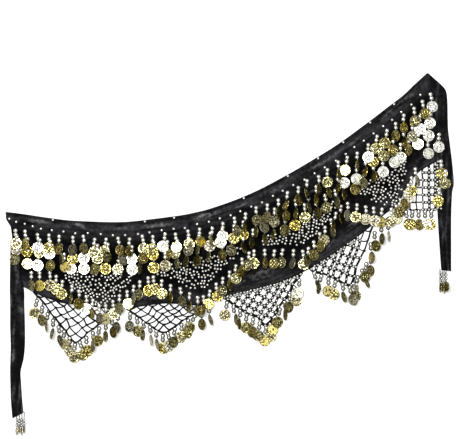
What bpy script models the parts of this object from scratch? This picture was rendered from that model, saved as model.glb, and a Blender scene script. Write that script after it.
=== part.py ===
# Belly dance hip scarf laid out flat, face up: a curved velvet strip with a tie at each end,
# shingled rows of coins hung on bead pairs, and five beaded cord nets below its lower edge.
# The tables are in millimetres, seen from above. The object is built in metres, +Z up.

import math
from collections import namedtuple

import bmesh
import bpy
import numpy as np

MM = 0.001

# Middle of the whole outline in the tables' frame
CENTRE_X = 0.25
CENTRE_Y = -0.75

# Cloth, cord and clearances
VELVET = 1.5
CORD = 2.0
NET_THICKNESS = 1.5
SEAM = 0.3
NET_SEAM = 0.5
STRIP_STEPS = 3
TIE_STEPS = 2
TIE_FOLD_HEIGHT = 3.0

# One coin drop: a bead-pair stem of the width of the coin's top flat, then the coin
COIN_RADIUS = 9.6
COIN_SIDES = 8
COIN_PITCH = 20.0
COIN_THICKNESS = 1.2
DROP_TO_COIN = 22.0
BACKING_HALF = 1.5
STEM_HALF = COIN_RADIUS * math.sin(math.pi / COIN_SIDES)
COIN_FLAT = COIN_RADIUS * math.cos(math.pi / COIN_SIDES)
BACKING_REACH = STEM_HALF + BACKING_HALF
STEEP_SPACING = COIN_FLAT + STEM_HALF + 0.4
SHINGLE_RISE = 0.1
FLOOR_RISE = 0.03

# Rows of coins that follow the top edge: distance of the coins' middles below it, and how
# far along the row the first and last coins stand in from its ends
Row = namedtuple("Row", "name offset first last")
ROWS = [
    Row("coins_upper", 47, 20, 34),
    Row("coins_middle", 65, 28, 54),
    Row("coins_lower", 83, 30, 73),
]
ROW_SEGMENTS = 6

# Sections across the strip, from its top edge to its lower edge
Section = namedtuple("Section", "top_x top_y low_x low_y")
SECTIONS = [
    Section(-392, 73, -360, -59),
    Section(-360, 69, -333, -72),
    Section(-320, 63, -297, -85),
    Section(-280, 58, -268, -89),
    Section(-240, 56, -236, -93),
    Section(-205, 55, -200, -98),
    Section(-174, 56, -168, -94),
    Section(-130, 61, -113, -87),
    Section(-85, 67, -60, -90),
    Section(-60, 72, -36, -87),
    Section(-36, 78, -10, -76),
    Section(8, 93, 44, -62),
    Section(50, 111, 88, -50),
    Section(92, 133, 132, -31),
    Section(134, 157, 179, -2),
    Section(189, 191, 228, 33),
    Section(244, 231, 274, 70),
    Section(278, 257, 295, 84),
    Section(304, 277, 308, 112),
    Section(324, 296, 330, 142),
    Section(346, 316, 361, 161),
]
ACROSS = (0, 0.045, 0.09, 0.14, 0.4, 0.66, 0.72, 0.78, 0.86, 1)

# Soft folds of the strip, as shares of its length and width, with their height
Fold = namedtuple("Fold", "along reach across width height")
FOLDS = [
    Fold(0.10, 0.045, 0.06, 0.08, 1.6),
    Fold(0.22, 0.060, 0.07, 0.07, 2.4),
    Fold(0.36, 0.040, 0.05, 0.08, 1.8),
    Fold(0.47, 0.070, 0.07, 0.07, 2.8),
    Fold(0.63, 0.050, 0.06, 0.08, 2.0),
    Fold(0.78, 0.060, 0.07, 0.07, 2.4),
    Fold(0.91, 0.040, 0.06, 0.08, 1.6),
    Fold(0.215, 0.040, 0.76, 0.09, 2.2),
    Fold(0.420, 0.050, 0.76, 0.09, 1.8),
]

# Turning points of the zigzag row, valley and point in turn
Turn = namedtuple("Turn", "x y")
ZIGZAG = [
    Turn(-352, -33),
    Turn(-312, -33),
    Turn(-221, -95),
    Turn(-139, -38),
    Turn(-50, -80),
    Turn(38, 5),
    Turn(135, 4),
    Turn(200, 88),
    Turn(289, 76),
    Turn(337, 150),
]
TURN_MARGIN = 12.6

# Triangular nets under the lower edge: their top corners, lowest point and cells along the top
Net = namedtuple("Net", "name left_x right_x apex_x apex_y cells")
NETS = [
    Net("net_1", -343, -187, -269, -155, 8),
    Net("net_2", -181, -30, -115, -139, 8),
    Net("net_3", -12, 127, 66, -125, 8),
    Net("net_4", 140, 252, 212, -54, 7),
]
LEVEL = (0,)
NET_TURNS = (0, 0, -30, 40, 22)
NET_CORNER = 1.2
STEEPEST = 1.5

# The square net at the right end
SQUARE_NET_LEFT = 315.0
SQUARE_NET_RIGHT = 361.0
SQUARE_NET_FOOT = 76.0
SQUARE_COLUMNS = 4
SQUARE_ROW = 14.0
SQUARE_LEAST = 8.0
SQUARE_OVERHANG = 8.0
SQUARE_MARGINS = (5.0, 7.5)

# Ties: their two side edges at each height, the outer one first
TieSection = namedtuple("TieSection", "y outer_x inner_x")
LEFT_TIE = [
    TieSection(24, -383, -380.6),
    TieSection(-15, -384, -371.2),
    TieSection(-59, -384.5, -360.6),
    TieSection(-90, -384, -359.5),
    TieSection(-125, -384, -358.5),
    TieSection(-160, -383, -358.5),
    TieSection(-185, -383.5, -361),
    TieSection(-207, -384, -366),
    TieSection(-230, -383.5, -365),
    TieSection(-260, -382.5, -363),
    TieSection(-288.5, -380, -361),
]
RIGHT_TIE = [
    TieSection(307, 357, 347.2),
    TieSection(295, 369, 348.3),
    TieSection(282, 376, 349.6),
    TieSection(264, 381, 351.3),
    TieSection(220, 382.5, 355.6),
    TieSection(190, 386, 358.5),
    TieSection(161, 389.5, 361.4),
    TieSection(146, 391, 361.8),
    TieSection(122, 392.5, 362.3),
    TieSection(104, 389.5, 362.9),
    TieSection(62, 388, 364.9),
    TieSection(15, 388, 367.8),
    TieSection(-31, 386.5, 371),
]
TIE_ACROSS = 4

# Tassels at the tie ends
Tassel = namedtuple("Tassel", "name left_x right_x top_y foot_y")
TASSELS = [
    Tassel("left_tassel", -374, -357, -289, -317.5),
    Tassel("right_tassel", 366, 381, -31.5, -71),
]
TASSEL_STRANDS = 3
TASSEL_HEAD = 3.0
TASSEL_WAIST = 1.4
TASSEL_FOOT = 2.3


def material(name, colour, roughness, metallic):
    made = bpy.data.materials.new(name)
    made.use_nodes = True
    shader = made.node_tree.nodes["Principled BSDF"]
    shader.inputs["Base Color"].default_value = (*colour, 1)
    shader.inputs["Roughness"].default_value = roughness
    shader.inputs["Metallic"].default_value = metallic
    made.diffuse_color = (*colour, 1)
    return made


def smooth_rows(rows, steps):
    """Points of a smooth curve through the table's rows, with this many steps between two rows."""
    knots = np.array(rows, float)
    padded = np.vstack([2 * knots[0] - knots[1], knots, 2 * knots[-1] - knots[-2]])
    found = []
    for first in range(len(knots) - 1):
        a, b, c, d = padded[first : first + 4]
        for step in range(steps):
            t = step / steps
            bend = (2 * a - 5 * b + 4 * c - d) * t * t + (3 * b - a - 3 * c + d) * t**3
            found.append(b + 0.5 * ((c - a) * t + bend))
    found.append(knots[-1])
    return np.array(found)


STRIP = smooth_rows(SECTIONS, STRIP_STEPS)
TOP_EDGE = STRIP[:, :2]
LOW_EDGE = STRIP[:, 2:]


def low_y(x):
    return float(np.interp(x, LOW_EDGE[:, 0], LOW_EDGE[:, 1]))


def bump(share):
    return math.cos(share * math.pi / 2) ** 2 if abs(share) < 1 else 0.0


def fold_height(along, across):
    """Height of the strip's folds above its flat lie."""
    heights = [
        fold.height * bump((along - fold.along) / fold.reach) * bump((across - fold.across) / fold.width)
        for fold in FOLDS
    ]
    return max(heights)


def add_object(name, mesh, finish, group, parent):
    mesh.materials.append(finish)
    made = bpy.data.objects.new(name, mesh)
    made.parent = parent
    group.objects.link(made)
    return made


def cloth_sheet(name, rows, thickness, finish, group, parent):
    """A wall of cloth over a grid of points, thickened upwards from its underside."""
    mesh = bpy.data.meshes.new(name)
    grid = bmesh.new()
    corners = [[grid.verts.new([value * MM for value in point]) for point in row] for row in rows]
    for row, after in zip(corners, corners[1:]):
        for side in range(len(row) - 1):
            grid.faces.new((row[side], row[side + 1], after[side + 1], after[side]))
    bmesh.ops.recalc_face_normals(grid, faces=grid.faces)
    grid.faces.ensure_lookup_table()
    if grid.faces[0].normal.z < 0:
        bmesh.ops.reverse_faces(grid, faces=grid.faces)
    grid.to_mesh(mesh)
    grid.free()
    mesh.shade_smooth()
    made = add_object(name, mesh, finish, group, parent)
    wall = made.modifiers.new("wall", "SOLIDIFY")
    wall.thickness = thickness * MM
    wall.offset = 1
    return made


def flat_piece(name, loops, thickness, place, finish, group, parent):
    """A flat outline with any holes, thickened, then moved point by point with place."""
    outline = bpy.data.curves.new(name + "_outline", "CURVE")
    outline.dimensions = "2D"
    outline.fill_mode = "BOTH"
    outline.extrude = thickness / 2 * MM
    for loop in loops:
        spline = outline.splines.new("POLY")
        spline.points.add(len(loop) - 1)
        for point, (x, y) in zip(spline.points, loop):
            point.co = (x * MM, y * MM, 0, 1)
        spline.use_cyclic_u = True
    drawn = bpy.data.objects.new(name + "_outline", outline)
    group.objects.link(drawn)
    evaluated = drawn.evaluated_get(bpy.context.evaluated_depsgraph_get())
    mesh = bpy.data.meshes.new_from_object(evaluated)
    mesh.name = name
    solid = bmesh.new()
    solid.from_mesh(mesh)
    bmesh.ops.remove_doubles(solid, verts=solid.verts, dist=1e-6)
    bmesh.ops.triangulate(solid, faces=solid.faces)
    for corner in solid.verts:
        x, y, z = (value / MM for value in corner.co)
        corner.co = [value * MM for value in place(x, y, z)]
    bmesh.ops.recalc_face_normals(solid, faces=solid.faces)
    solid.to_mesh(mesh)
    solid.free()
    bpy.data.objects.remove(drawn)
    mesh.materials.clear()
    return add_object(name, mesh, finish, group, parent)


def spaced(points, distances):
    """Points at these distances along a polyline."""
    steps = np.hypot(*np.diff(points, axis=0).T)
    travelled = np.concatenate([[0], np.cumsum(steps)])
    x = np.interp(distances, travelled, points[:, 0])
    y = np.interp(distances, travelled, points[:, 1])
    return np.column_stack([x, y])


def length_of(points):
    return float(np.hypot(*np.diff(points, axis=0).T).sum())


def slopes_at(tops, reach):
    """Rise over run of the backing at each drop, from the points either side of it."""
    ends = np.vstack([reach[0], tops, reach[1]])
    runs = ends[2:] - ends[:-2]
    return runs[:, 1] / runs[:, 0]


def coin_loop(tops, reach):
    """Outline of a backing with its drops: over the top from left to right, then back below."""
    slopes = slopes_at(tops, reach)
    thick = BACKING_HALF * np.hypot(1, slopes)
    upper = [(x, y + up) for (x, y), up in zip(tops, thick)]
    left = (reach[0][0], reach[0][1])
    right = (reach[1][0], reach[1][1])
    loop = [(left[0], left[1] - thick[0]), (left[0], left[1] + thick[0])]
    loop += upper
    loop += [(right[0], right[1] + thick[-1]), (right[0], right[1] - thick[-1])]
    turn = 2 * math.pi / COIN_SIDES
    for (x, y), slope, down in reversed(list(zip(tops, slopes, thick))):
        loop.append((x + STEM_HALF, y + slope * STEM_HALF - down))
        for side in range(COIN_SIDES):
            angle = math.pi / 2 - turn / 2 - side * turn
            loop.append(
                (x + COIN_RADIUS * math.cos(angle), y - DROP_TO_COIN + COIN_RADIUS * math.sin(angle))
            )
        loop.append((x - STEM_HALF, y - slope * STEM_HALF - down))
    return loop


def coin_strip(name, tops, reach, base, rise, turns, finish, group, parent):
    """A backing with its coins, rising away from the backing so that rows lie like shingles."""
    line = np.vstack([reach[0], tops, reach[1]])

    def place(x, y, z):
        below = max(0.0, float(np.interp(x, line[:, 0], line[:, 1])) - y)
        height = base + COIN_THICKNESS / 2 + rise * below
        away = np.hypot(tops[:, 0] - x, tops[:, 1] - DROP_TO_COIN - y)
        nearest = int(np.argmin(away))
        turned = math.radians(turns[nearest])
        if turned and away[nearest] < COIN_RADIUS + SEAM:
            side = x - tops[nearest, 0]
            x = tops[nearest, 0] + side * math.cos(turned) - z * math.sin(turned)
            z = side * math.sin(turned) + z * math.cos(turned)
            height += COIN_RADIUS * abs(math.sin(turned))
        return x, y, height + z

    flat_piece(name, [coin_loop(tops, reach)], COIN_THICKNESS, place, finish, group, parent)


def line_strip(name, points, margins, base, rise, turns, finish, group, parent):
    """Coins spread evenly along a backing between its two margins, turned in the order given."""
    points = np.array(points, float)
    start, end = margins
    run = length_of(points) - start - end
    slant = abs(points[-1, 0] - points[0, 0]) / length_of(points[[0, -1]])
    pitch = max(COIN_PITCH, STEEP_SPACING / slant)
    count = int(run / pitch) + 1
    tops = spaced(points, np.linspace(start, start + run, count))
    far = length_of(points)
    reach = spaced(points, [start - BACKING_REACH, min(far, start + run + BACKING_REACH)])
    turned = [turns[number % len(turns)] for number in range(count)]
    if points[0, 1] < points[-1, 1]:
        turned.reverse()
    coin_strip(name, tops, reach, base, rise, turned, finish, group, parent)


def body_panel(finish, group, parent):
    rows = []
    for number, section in enumerate(STRIP):
        top, low = section[:2], section[2:]
        along = number / (len(STRIP) - 1)
        rows.append([(*(top + (low - top) * share), fold_height(along, share)) for share in ACROSS])
    cloth_sheet("body_panel", rows, VELVET, finish, group, parent)


def tie(name, table, free_from, finish, group, parent):
    """A tie whose lengthwise folds begin below the strip's end."""
    rows = []
    for y, outer_x, inner_x in smooth_rows(table, TIE_STEPS):
        freed = min(1.0, max(0.0, (free_from - y) / 30))
        row = []
        for side in range(TIE_ACROSS + 1):
            share = side / TIE_ACROSS
            wave = 0.5 + 0.5 * math.sin(y / 31 + 2.3 * side)
            lift = TIE_FOLD_HEIGHT * freed * wave if 0 < side < TIE_ACROSS else 0
            row.append((outer_x + (inner_x - outer_x) * share, y, lift))
        rows.append(row)
    cloth_sheet(name, rows, VELVET, finish, group, parent)


def tassel(spec, finish, group, parent):
    """A short head strip with narrow strands that widen to the coins seen edge-on."""
    middles = np.linspace(spec.left_x, spec.right_x, 2 * TASSEL_STRANDS + 1)[1::2]
    neck_y = spec.top_y - TASSEL_HEAD
    loop = [
        (spec.left_x, neck_y),
        (spec.left_x, spec.top_y),
        (spec.right_x, spec.top_y),
        (spec.right_x, neck_y),
    ]
    for middle in reversed(middles):
        loop += [
            (middle + TASSEL_WAIST, neck_y),
            (middle + TASSEL_FOOT, spec.foot_y),
            (middle - TASSEL_FOOT, spec.foot_y),
            (middle - TASSEL_WAIST, neck_y),
        ]

    def place(x, y, z):
        return x, y, SEAM + NET_THICKNESS / 2 + FLOOR_RISE * (spec.top_y - y) + z

    flat_piece(spec.name, [loop], NET_THICKNESS, place, finish, group, parent)


def inset(loop, distance):
    """The convex loop with each side moved inwards, anticlockwise points."""
    sides = []
    for (x0, y0), (x1, y1) in zip(loop, loop[1:] + loop[:1]):
        length = math.hypot(x1 - x0, y1 - y0)
        normal = (-(y1 - y0) / length, (x1 - x0) / length)
        sides.append((*normal, normal[0] * x0 + normal[1] * y0 + distance))
    corners = []
    for (a, b, c), (d, e, f) in zip([sides[-1]] + sides[:-1], sides):
        cross = a * e - b * d
        corners.append(((c * e - b * f) / cross, (a * f - c * d) / cross))
    return corners


def on_floor(x, y, z):
    return x, y, NET_THICKNESS / 2 + z


def net_edge(x, drop):
    """A point this far under the strip's lower edge."""
    slope = (low_y(x + 1) - low_y(x - 1)) / 2
    return x, low_y(x) - drop * math.hypot(1, slope)


def triangular_net(spec, finish, group, parent):
    """A net of diamond cells between the strip's lower edge and a point below it."""
    cells = spec.cells

    def knot(row, column):
        depth = row / cells
        across = column / (cells - row) if row < cells else 0
        x, y = net_edge(spec.left_x + (spec.right_x - spec.left_x) * across, NET_SEAM + CORD / 2)
        return x + (spec.apex_x - x) * depth, y + (spec.apex_y - y) * depth

    ends = np.linspace(spec.left_x - NET_CORNER, spec.right_x + NET_CORNER, 2 * cells + 1)
    loops = [[net_edge(x, NET_SEAM) for x in reversed(ends)] + [(spec.apex_x, spec.apex_y - CORD)]]
    for column in range(cells):
        loops.append(inset([knot(0, column), knot(1, column), knot(0, column + 1)], CORD / 2))
    for row in range(cells - 1):
        for column in range(1, cells - row):
            diamond = [
                knot(row, column),
                knot(row + 1, column - 1),
                knot(row + 2, column - 1),
                knot(row + 1, column),
            ]
            loops.append(inset(diamond, CORD / 2))
    flat_piece(spec.name, loops, NET_THICKNESS, on_floor, finish, group, parent)


def square_net(name, finish, group, parent):
    """A net of upright cells that ends under the slanting edge of the strip."""
    lines = np.linspace(SQUARE_NET_LEFT + CORD / 2, SQUARE_NET_RIGHT - CORD / 2, SQUARE_COLUMNS + 1)
    tops = [net_edge(x, NET_SEAM) for x in np.linspace(SQUARE_NET_LEFT, SQUARE_NET_RIGHT, 9)]
    foot = [(SQUARE_NET_LEFT, SQUARE_NET_FOOT), (SQUARE_NET_RIGHT, SQUARE_NET_FOOT)]
    loops = [foot + list(reversed(tops))]
    for left, right in zip(lines, lines[1:]):
        left_top = net_edge(left, NET_SEAM + CORD / 2)[1]
        right_top = net_edge(right, NET_SEAM + CORD / 2)[1]
        foot_y = SQUARE_NET_FOOT + CORD / 2
        while foot_y is not None:
            head_y = foot_y + SQUARE_ROW
            last = head_y + SQUARE_LEAST > left_top
            left_y, right_y = (left_top, right_top) if last else (head_y, head_y)
            cell = [(left, foot_y), (right, foot_y), (right, right_y), (left, left_y)]
            loops.append(inset(cell, CORD / 2))
            foot_y = None if last else head_y
    flat_piece(name, loops, NET_THICKNESS, on_floor, finish, group, parent)


def net_coins(spec, turns, finish, group, parent):
    """Coins along the two free sides of a triangular net. A side too steep for them leans out less."""
    apex = np.array([spec.apex_x, spec.apex_y - CORD])
    for side, corner_x in (("left", spec.left_x - NET_CORNER), ("right", spec.right_x + NET_CORNER)):
        corner = np.array(net_edge(corner_x, NET_SEAM))
        run = apex - corner
        outward = np.array([run[1], -run[0]]) / np.hypot(*run)
        outward *= -np.sign(outward[1])
        away = BACKING_HALF + SEAM
        steepness = abs(run[1] / run[0])
        if steepness > STEEPEST:
            corner = apex - np.array([run[0], run[1] * STEEPEST / steepness])
            lean = math.atan(steepness) - math.atan(STEEPEST)
            away -= (TURN_MARGIN - BACKING_REACH) * math.sin(lean)
        points = [corner + outward * away, apex + outward * away]
        margins = (TURN_MARGIN - 2, TURN_MARGIN)
        if side == "right":
            points.reverse()
            margins = margins[::-1]
        name = spec.name.replace("net", "net_coins") + "_" + side
        line_strip(name, points, margins, SEAM, FLOOR_RISE, turns, finish, group, parent)


def edge_rows(finish, group, parent):
    """The three long rows, each on short backings end to end."""
    runs = np.gradient(TOP_EDGE, axis=0)
    normals = np.column_stack([runs[:, 1], -runs[:, 0]]) / np.hypot(*runs.T)[:, None]
    for row in ROWS:
        line = TOP_EDGE + normals * row.offset + np.array([0, DROP_TO_COIN])
        run = length_of(line) - row.first - row.last
        count = int(run / COIN_PITCH) + 1
        pitch = run / (count - 1)
        places = row.first + pitch * np.arange(count)
        for part, chosen in enumerate(np.array_split(places, ROW_SEGMENTS)):
            ends = [chosen[0] - pitch / 2 + SEAM, chosen[-1] + pitch / 2 - SEAM]
            name = f"{row.name}_{part + 1}"
            tops, reach = spaced(line, chosen), spaced(line, ends)
            level = [0] * len(chosen)
            coin_strip(name, tops, reach, VELVET + SEAM, SHINGLE_RISE, level, finish, group, parent)


def zigzag_row(finish, group, parent):
    """One backing for each side of the zigzag, the first with the level run before it."""
    sides = [ZIGZAG[:3]] + [list(pair) for pair in zip(ZIGZAG[2:], ZIGZAG[3:])]
    for number, side in enumerate(sides):
        margins = (TURN_MARGIN - 4 if number == 0 else TURN_MARGIN, TURN_MARGIN)
        name = f"coins_zigzag_{number + 1}"
        line_strip(name, side, margins, VELVET + SEAM, SHINGLE_RISE, LEVEL, finish, group, parent)


def build():
    for old in list(bpy.data.objects):
        bpy.data.objects.remove(old)
    group = bpy.data.collections.new("hip_scarf")
    bpy.context.scene.collection.children.link(group)
    root = bpy.data.objects.new("hip_scarf", None)
    root.location = (-CENTRE_X * MM, -CENTRE_Y * MM, 0)
    group.objects.link(root)

    velvet = material("velvet", (0.012, 0.012, 0.014), 0.75, 0)
    cord = material("net_cord", (0.015, 0.015, 0.016), 0.6, 0)
    coin = material("coin_metal", (0.85, 0.76, 0.42), 0.3, 1)
    bead = material("bead_silver", (0.82, 0.81, 0.76), 0.15, 1)

    body_panel(velvet, group, root)
    tie("left_tie", LEFT_TIE, LOW_EDGE[0, 1] - SEAM, velvet, group, root)
    tie("right_tie", RIGHT_TIE, SQUARE_NET_FOOT, velvet, group, root)
    for spec in TASSELS:
        tassel(spec, bead, group, root)
    edge_rows(coin, group, root)
    zigzag_row(coin, group, root)
    for spec in NETS:
        triangular_net(spec, cord, group, root)
        net_coins(spec, NET_TURNS, coin, group, root)
    square_net("net_5", cord, group, root)
    foot_y = SQUARE_NET_FOOT - BACKING_HALF - SEAM
    foot = [(SQUARE_NET_LEFT - SQUARE_OVERHANG, foot_y), (SQUARE_NET_RIGHT, foot_y)]
    line_strip("net_coins_5", foot, SQUARE_MARGINS, SEAM, FLOOR_RISE, LEVEL, coin, group, root)


build()
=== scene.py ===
import math
import random

import bmesh
import bpy
import numpy as np
from mathutils import Euler, Matrix, Vector, noise
from mathutils.bvhtree import BVHTree


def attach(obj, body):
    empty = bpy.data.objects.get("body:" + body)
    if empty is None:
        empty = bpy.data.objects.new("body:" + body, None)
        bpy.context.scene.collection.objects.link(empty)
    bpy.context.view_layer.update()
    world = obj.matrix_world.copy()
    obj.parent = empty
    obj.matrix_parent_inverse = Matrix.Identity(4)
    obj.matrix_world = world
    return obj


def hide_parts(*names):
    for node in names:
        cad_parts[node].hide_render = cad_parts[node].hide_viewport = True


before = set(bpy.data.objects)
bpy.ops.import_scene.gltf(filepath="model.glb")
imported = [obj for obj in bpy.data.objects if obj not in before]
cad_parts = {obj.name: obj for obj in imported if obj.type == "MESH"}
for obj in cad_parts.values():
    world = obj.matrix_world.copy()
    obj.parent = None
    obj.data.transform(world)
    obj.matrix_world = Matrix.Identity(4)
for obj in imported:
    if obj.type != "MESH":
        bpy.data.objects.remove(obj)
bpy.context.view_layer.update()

mm = 0.001
random.seed(17)

# millimetres seen from above, with this point over the origin
scarf = {
    "centre": (0.25, -0.75),
    "velvet": 1.5, "hemRound": 0.9,
    # top edge x, y and lower edge x, y of each section across the strip
    "sections": [
        (-392, 73, -360, -59), (-360, 69, -333, -72), (-320, 63, -297, -85),
        (-280, 58, -268, -89), (-240, 56, -236, -93), (-205, 55, -200, -98),
        (-174, 56, -168, -94), (-130, 61, -113, -87), (-85, 67, -60, -90), (-60, 72, -36, -87),
        (-36, 78, -10, -76), (8, 93, 44, -62), (50, 111, 88, -50), (92, 133, 132, -31),
        (134, 157, 179, -2), (189, 191, 228, 33), (244, 231, 274, 70), (278, 257, 295, 84),
        (304, 277, 308, 112), (324, 296, 330, 142), (346, 316, 361, 161),
    ],
    # how far right the left end is cut, at each share of its width
    "leftEnd": [(0.0, 0.0), (0.10, -2.3), (0.20, 2.8), (0.36, 0.4), (1.0, 0.0)],
    "stepsAlong": 18, "stepsAcross": 62,
}


def toWorld(points):
    moved = np.array(points, float)
    moved[..., :2] -= scarf["centre"]
    return moved * mm


def smoothRows(rows, steps):
    knots = np.array(rows, float)
    padded = np.vstack([2 * knots[0] - knots[1], knots, 2 * knots[-1] - knots[-2]])
    found = []
    for first in range(len(knots) - 1):
        a, b, c, d = padded[first : first + 4]
        for step in range(steps):
            t = step / steps
            bend = (2 * a - 5 * b + 4 * c - d) * t * t + (3 * b - a - 3 * c + d) * t**3
            found.append(b + 0.5 * ((c - a) * t + bend))
    found.append(knots[-1])
    return np.array(found)


def stepsOf(points):
    return np.hypot(*np.diff(points, axis=0).T)


def lengthOf(points):
    return float(stepsOf(points).sum())


def spaced(points, distances):
    travelled = np.concatenate([[0], np.cumsum(stepsOf(points))])
    return np.column_stack([np.interp(distances, travelled, part) for part in points.T])


def bump(share):
    return math.cos(share * math.pi / 2) ** 2 if abs(share) < 1 else 0.0


def ridge(x, y, crease):
    middleX, middleY, length, width, angle, height, bend = crease
    turn = math.radians(angle)
    dx, dy = x - middleX, y - middleY
    along = dx * math.cos(turn) + dy * math.sin(turn)
    across = -dx * math.sin(turn) + dy * math.cos(turn) - bend * (along / length) ** 2
    return height * bump(2 * along / length) * bump(2 * across / width)


def operator(kind):
    # one operator of a shader value, and its reflected form
    return (
        lambda value, other: value.maths(kind, value, other),
        lambda value, other: value.maths(kind, other, value),
    )


class Value:
    def __init__(self, tree, socket):
        self.tree, self.socket = tree, socket

    def maths(self, operation, first, second):
        node = self.tree.nodes.new("ShaderNodeMath")
        node.operation = operation
        for number, item in enumerate((first, second)):
            if isinstance(item, Value):
                self.tree.links.new(item.socket, node.inputs[number])
            else:
                node.inputs[number].default_value = item
        return Value(self.tree, node.outputs[0])

    __add__, __radd__ = operator("ADD")
    __sub__, __rsub__ = operator("SUBTRACT")
    __mul__, __rmul__ = operator("MULTIPLY")


class Finish:
    def __init__(self, name, **constants):
        self.material = bpy.data.materials.new(name)
        self.material.use_nodes = True
        self.tree = self.material.node_tree
        self.shader = self.tree.nodes["Principled BSDF"]
        for socket, value in constants.items():
            self.shader.inputs[socket.replace("_", " ")].default_value = value

    def node(self, kind, settings, out=0, **sockets):
        made = self.tree.nodes.new(kind)
        for name, value in settings.items():
            if name == "stops":
                ramp = made.color_ramp
                while len(ramp.elements) < len(value):
                    ramp.elements.new(1)
                for element, (at, colour) in zip(ramp.elements, value):
                    element.position, element.color = at, (*colour, 1)
            else:
                setattr(made, name, value)
        for name, value in sockets.items():
            socket = made.inputs[int(name[2:]) if name.startswith("in") else name.replace("_", " ")]
            if isinstance(value, Value):
                self.tree.links.new(value.socket, socket)
            else:
                socket.default_value = value
        return Value(self.tree, made.outputs[out])

    def place(self):
        return self.node("ShaderNodeTexCoord", {}, out="Object")

    def attribute(self, name):
        return self.node("ShaderNodeAttribute", {"attribute_name": name}, out="Fac")

    def noise(self, where, scale, detail=3.0, roughness=0.55):
        return self.node(
            "ShaderNodeTexNoise", {}, Vector=where, Scale=scale, Detail=detail, Roughness=roughness
        )

    def mix(self, factor, first, second):
        # inputs 6 and 7 are the two colours
        return self.node(
            "ShaderNodeMix", {"data_type": "RGBA"}, out=2, in0=factor, in6=first, in7=second
        )

    def ramp(self, factor, low, high):
        return self.node(
            "ShaderNodeMapRange", {"clamp": True}, Value=factor, From_Min=low, From_Max=high
        )

    def feed(self, socket, value):
        self.tree.links.new(value.socket, self.shader.inputs[socket])

    def relief(self, height, strength, distance):
        made = self.node("ShaderNodeBump", {}, Strength=strength, Distance=distance, Height=height)
        self.feed("Normal", made)


velvetLook = {
    "dark": (0.0018, 0.0018, 0.0022, 1), "grey": (0.042, 0.041, 0.044, 1),
    # colour of the painted sheen streaks on the pile
    "paintedShine": (0.20, 0.20, 0.202, 1),
    # scale of the noise, then where its ramp starts and ends
    "patch": (26.0, 0.44, 0.66), "crush": (150.0, 0.38, 0.66), "pile": 900.0,
    # painted light away from the painted sheen bands along the edges, and depth of the relief
    "open": 0.30, "deep": 0.0009,
}


def velvetFinish():
    made = Finish(
        "crushed_velvet",
        Roughness=0.85, Specular_IOR_Level=0.03,
        Sheen_Weight=0.03, Sheen_Roughness=0.4, Sheen_Tint=(0.78, 0.77, 0.82, 1),
    )
    where = made.place()
    patch, *patchEnds = velvetLook["patch"]
    fine, *fineEnds = velvetLook["crush"]
    patches = made.ramp(made.noise(where, patch, 2.0), *patchEnds)
    crush = made.ramp(made.noise(where, fine, 4.0, 0.65), *fineEnds)
    pile = made.noise(where, velvetLook["pile"], 2.0)
    # painted sheen: one mask lightens bands along the long edges, the other lays lighter streaks
    # along folds and crease crests
    band, paintedSheen = map(made.attribute, ("band", "nap"))
    lit = band * (0.45 + 0.75 * crush) * (0.5 + pile)
    lit = lit + (1 - band) * patches * crush * velvetLook["open"]
    base = made.mix(made.ramp(lit, 0.0, 1.0), velvetLook["dark"], velvetLook["grey"])
    sheenMask = made.ramp(paintedSheen * (0.25 + crush) * (0.6 + 0.8 * pile), 0.10, 1.0)
    made.feed("Base Color", made.mix(sheenMask, base, velvetLook["paintedShine"]))
    made.relief(crush * 0.7 + pile * 0.3, 0.5, velvetLook["deep"])
    return made.material


coinLook = {
    "pale": (0.80, 0.76, 0.35, 1), "gold": (0.80, 0.63, 0.13, 1),
    # the near-white colour on this line is painted glare, the reflection of the lights on a facing
    # coin
    "wearAndShade": (0.24, 0.20, 0.07, 1), "bright": (1.0, 1.0, 0.94, 1),
    # the crevice colour is painted shade, laid into the low parts of the stamp, the rim and the
    # specks
    "crevice": (0.045, 0.038, 0.008, 1),
    # painted shade in dark specks: scale of their noise, and their strength
    "speckle": 340.0, "specks": 4.4, "deep": 0.0008,
}


def coinFinish():
    made = Finish("stamped_coin")
    where = made.place()
    tone, height, wear, polish = map(made.attribute, ("tone", "relief", "wear", "polish"))
    speckle = made.noise(where, coinLook["speckle"], 2.0)
    metal = made.mix(tone, coinLook["pale"], coinLook["gold"])
    metal = made.mix(wear, metal, coinLook["wearAndShade"])
    # painted glare: coins marked with it are painted near white, standing in for the reflection of
    # the lights
    metal = made.mix(polish * 0.95, metal, coinLook["bright"])
    # painted shade: low parts of the stamp, the rim and random specks darken towards the crevice
    # colour; coins with painted glare get less
    wearAndShade = height * 0.7 + (speckle - 0.5) * coinLook["specks"] + polish * 0.60
    low = made.ramp(wearAndShade, 0.50, 0.30)
    made.feed("Base Color", made.mix(low * 0.95, metal, coinLook["crevice"]))
    # coins painted with glare stay whitish from every side
    made.feed("Metallic", 1 - polish * 0.40)
    made.feed("Roughness", 0.14 + low * 0.3 + wear * 0.3)
    made.relief(speckle * (1 - polish * 0.7), 0.5, coinLook["deep"])
    return made.material


beadLook = {
    # share of metal, dull colour, bright colour
    "silver_bead": (0.32, (0.86, 0.85, 0.77, 1), (1.0, 0.99, 0.93, 1)),
    "round_silver_bead": (0.8, (0.88, 0.87, 0.77, 1), (1.0, 0.99, 0.91, 1)),
    # a darker copy of the silver bead, painted shade: the lower bead of drops on the nets and the
    # small link beads
    "shaded_silver_bead": (0.32, (0.22, 0.22, 0.18, 1), (0.72, 0.72, 0.64, 1)),
    "smear": 300.0,
}


def beadFinish(name):
    metal, dull, bright = beadLook[name]
    made = Finish(name, Metallic=metal, Specular_IOR_Level=0.9)
    smear = made.noise(made.place(), beadLook["smear"])
    made.feed("Base Color", made.mix(smear, dull, bright))
    made.feed("Roughness", 0.06 + smear * 0.16)
    return made.material


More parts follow.
